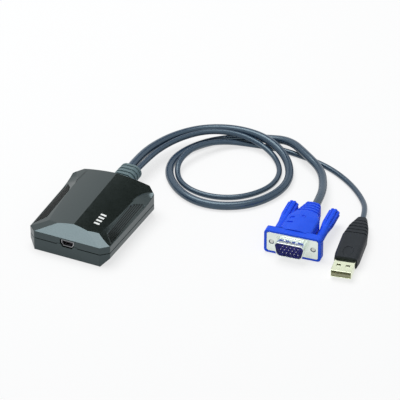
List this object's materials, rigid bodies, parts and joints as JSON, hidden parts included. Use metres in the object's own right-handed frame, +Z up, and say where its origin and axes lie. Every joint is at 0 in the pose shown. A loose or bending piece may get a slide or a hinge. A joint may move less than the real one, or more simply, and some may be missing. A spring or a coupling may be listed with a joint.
{
  "type": "kvm console adapter",
  "caption": "Small wedge-topped console adapter box with a mini socket in front and one ribbed boot behind, from which a video cord and a data cord run to their plugs.",
  "frame": {"origin": "centre of the case's flat underside", "axes": "+Z up, +Y from the socket end towards the cable end of the case, +X to the right seen from the socket end"},
  "size_m": [0.1829, 0.1607, 0.0193],
  "materials": {
    "case_plastic": "satin",
    "boot_rubber": "satin",
    "cord_jacket": "satin",
    "plug_blue": "satin",
    "plug_nickel": "satin",
    "insulator_navy": "satin",
    "contact_gold": "polished",
    "screw_steel": "satin",
    "usb_black": "satin",
    "insert_plastic": "matte",
    "board_green": "satin",
    "chip_black": "matte",
    "can_metal": "satin",
    "header_white": "matte"
  },
  "bodies": {
    "adapter": {"bottom_cover": "case_plastic", "top_cover": "case_plastic", "cable_boot": "boot_rubber", "video_cord": "cord_jacket", "data_cord": "cord_jacket", "video_cord_inner_end": "cord_jacket", "data_cord_inner_end": "cord_jacket", "video_wire_bundle": "cord_jacket", "data_wire_bundle": "cord_jacket", "vga_hood": "plug_blue", "vga_front_shell": "plug_nickel", "vga_rear_shell": "plug_nickel", "usb_plug_shell": "plug_nickel", "mini_usb_shell": "plug_nickel", "vga_insulator": "insulator_navy", "vga_pins": "contact_gold", "usb_plug_contacts": "contact_gold", "mini_usb_contacts": "contact_gold", "case_screws": "screw_steel", "usb_plug_overmould": "usb_black", "usb_plug_insert": "insert_plastic", "mini_usb_insert": "insert_plastic", "main_board": "board_green", "video_processor_chip": "chip_black", "usb_controller_chip": "chip_black", "memory_chip": "chip_black", "crystal": "can_metal", "capacitors": "can_metal", "video_cable_header": "header_white", "data_cable_header": "header_white"},
    "left_thumbscrew": {"left_thumbscrew_knob": "plug_blue", "left_jackscrew": "screw_steel"},
    "right_thumbscrew": {"right_thumbscrew_knob": "plug_blue", "right_jackscrew": "screw_steel"}
  },
  "joints": [
    {"name": "left_thumbscrew_turn", "type": "hinge", "parent": "adapter", "child": "left_thumbscrew", "pos_m": [0.10366, 0.0218, 0.0077], "axis": [-0.0958, 0.9954, 0], "continuous": true},
    {"name": "right_thumbscrew_turn", "type": "hinge", "parent": "adapter", "child": "right_thumbscrew", "pos_m": [0.12854, 0.0242, 0.0077], "axis": [-0.0958, 0.9954, 0], "continuous": true}
  ]
}
